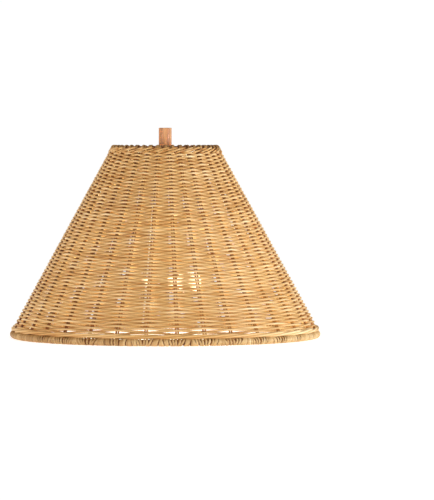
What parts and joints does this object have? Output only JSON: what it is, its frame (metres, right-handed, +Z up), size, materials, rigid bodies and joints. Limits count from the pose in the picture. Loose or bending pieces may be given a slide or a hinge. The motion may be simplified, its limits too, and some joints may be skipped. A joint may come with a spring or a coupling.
{
  "type": "woven lamp shade",
  "caption": "Tapered round lamp shade of woven rattan on a wire frame, with wrapped top and bottom rims, a spider fitter and a plain wooden screw finial.",
  "frame": {"origin": "on the shade's axis, in the plane its bottom rim stands on", "axes": "+Z up along the axis, -Y to the front, +X to the right seen from the front"},
  "size_m": [0.457, 0.4568, 0.3085],
  "materials": {
    "rattan_weave": "bare rattan core, woven, satin",
    "rattan_stakes": "bare rattan core, satin",
    "wrap_cane": "split cane, wound, satin",
    "frame_wire": "zinc and off-white lacquer on steel wire, satin",
    "beech": "oiled beech, satin",
    "brass": "turned brass, bright"
  },
  "bodies": {
    "shade": {"stake_01": "rattan_stakes", "stake_02": "rattan_stakes", "stake_03": "rattan_stakes", "stake_04": "rattan_stakes", "stake_05": "rattan_stakes", "stake_06": "rattan_stakes", "stake_07": "rattan_stakes", "stake_08": "rattan_stakes", "stake_09": "rattan_stakes", "stake_10": "rattan_stakes", "stake_11": "rattan_stakes", "stake_12": "rattan_stakes", "stake_13": "rattan_stakes", "stake_14": "rattan_stakes", "stake_15": "rattan_stakes", "stake_16": "rattan_stakes", "stake_17": "rattan_stakes", "stake_18": "rattan_stakes", "stake_19": "rattan_stakes", "stake_20": "rattan_stakes", "stake_21": "rattan_stakes", "stake_22": "rattan_stakes", "stake_23": "rattan_stakes", "stake_24": "rattan_stakes", "stake_25": "rattan_stakes", "stake_26": "rattan_stakes", "stake_27": "rattan_stakes", "stake_28": "rattan_stakes", "stake_29": "rattan_stakes", "stake_30": "rattan_stakes", "stake_31": "rattan_stakes", "stake_32": "rattan_stakes", "stake_33": "rattan_stakes", "woven_wall": "rattan_weave", "bottom_wale": "rattan_weave", "top_wale": "rattan_weave", "bottom_roll": "wrap_cane", "top_roll": "wrap_cane", "bottom_ring": "frame_wire", "top_ring": "frame_wire", "frame_rib_01": "frame_wire", "frame_rib_02": "frame_wire", "frame_rib_03": "frame_wire", "frame_rib_04": "frame_wire", "frame_rib_05": "frame_wire", "frame_rib_06": "frame_wire", "fitter_arm_01": "frame_wire", "fitter_arm_02": "frame_wire", "fitter_arm_03": "frame_wire", "fitter_hub": "frame_wire"},
    "washer": {"finial_washer": "brass"},
    "finial": {"finial_body": "beech", "finial_insert": "brass"}
  },
  "joints": [
    {"name": "finial_rise", "type": "slide", "parent": "shade", "child": "washer", "axis": [0, 0, 1], "range_m": [0, 0.008]},
    {"name": "finial_turn", "type": "hinge", "parent": "washer", "child": "finial", "pos_m": [0, 0, 0.267], "axis": [0, 0, 1], "range_deg": [0, 3062]}
  ],
  "couplings": [
    {"joint": "finial_turn", "follows": "finial_rise", "rad_per_m": 6679}
  ]
}
